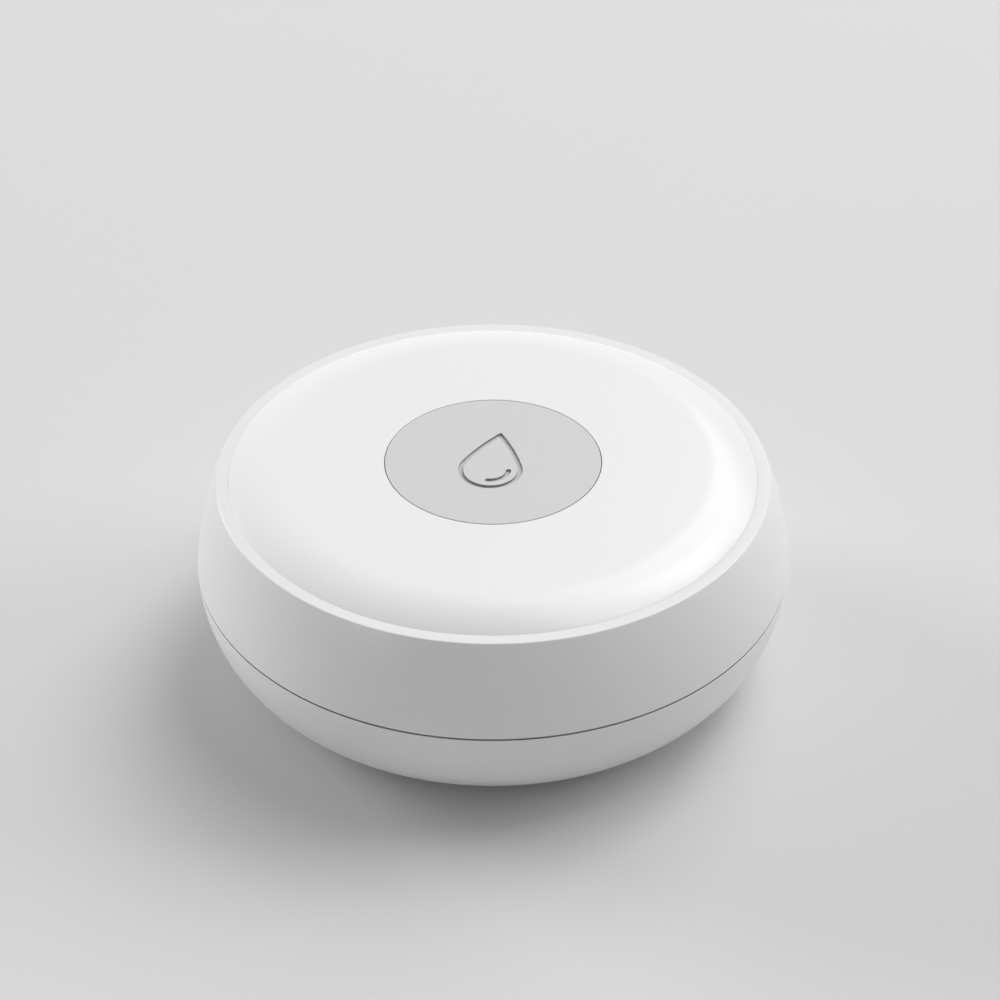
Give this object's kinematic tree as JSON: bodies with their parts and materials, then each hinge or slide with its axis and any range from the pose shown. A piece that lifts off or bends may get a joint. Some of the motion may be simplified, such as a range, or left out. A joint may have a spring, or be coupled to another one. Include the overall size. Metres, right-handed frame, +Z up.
{
  "type": "water leak sensor",
  "caption": "Round white water leak sensor with a flush grey push button, metal sensing probes as feet and a twist-off battery door underneath.",
  "frame": {"origin": "under the middle, on the surface that the probe heads stand on", "axes": "+Z up through the button; the pictogram on the button is read from the -Y side"},
  "size_m": [0.06, 0.06, 0.0224],
  "materials": {
    "white_housing": "moulded ABS, fine satin texture",
    "white_cover": "moulded ABS, smooth satin",
    "grey_button": "moulded ABS, light grey, matt",
    "white_door": "moulded ABS, fine texture",
    "silicone": "translucent moulded silicone",
    "plug_rubber": "soft light-grey rubber",
    "probe_metal": "nickel-plated brass, polished",
    "screw_steel": "zinc-plated steel",
    "spring_steel": "nickel-plated spring strip",
    "cell_steel": "drawn nickel-plated steel can",
    "board_laminate": "green solder mask on glass laminate",
    "radio_laminate": "blue solder mask on glass laminate",
    "shield_tin": "tinned sheet steel",
    "ceramic": "fired ceramic",
    "chip_epoxy": "black moulding compound",
    "buzzer_plastic": "black moulded plastic",
    "disc_brass": "rolled brass",
    "led_lens": "clear resin over phosphor",
    "plunger_plastic": "black moulded plastic"
  },
  "bodies": {
    "housing": {"upper_shell": "white_housing", "top_cover": "white_cover", "button_boot": "silicone", "tact_switch": "chip_epoxy", "circuit_board": "board_laminate", "board_screws": "screw_steel", "radio_module": "radio_laminate", "radio_shield": "shield_tin", "chip_antenna": "ceramic", "sensing_chip": "chip_epoxy", "chip_capacitors": "ceramic", "status_led": "led_lens", "buzzer_case": "buzzer_plastic", "buzzer_disc": "disc_brass", "coin_cell": "cell_steel", "cell_contact_negative": "spring_steel", "cell_contact_positive": "spring_steel", "probe_contacts": "spring_steel", "lower_shell": "white_housing", "housing_seal": "silicone", "housing_screws": "screw_steel", "screw_plugs": "plug_rubber", "probe_pins": "probe_metal", "probe_seals": "silicone", "probe_clips": "screw_steel"},
    "button": {"button_cap": "grey_button", "tact_plunger": "plunger_plastic"},
    "door": {"battery_door": "white_door", "door_seal": "silicone"}
  },
  "joints": [
    {"name": "button_press", "type": "slide", "parent": "housing", "child": "button", "axis": [0, 0, -1], "range_m": [0, 0.0004], "stiffness_N_per_m": 2500, "deforming": ["button_boot"]},
    {"name": "battery_door_twist", "type": "hinge", "parent": "housing", "child": "door", "pos_m": [0, 0, 0.0006], "axis": [0, 0, -1], "range_deg": [0, 45]}
  ]
}
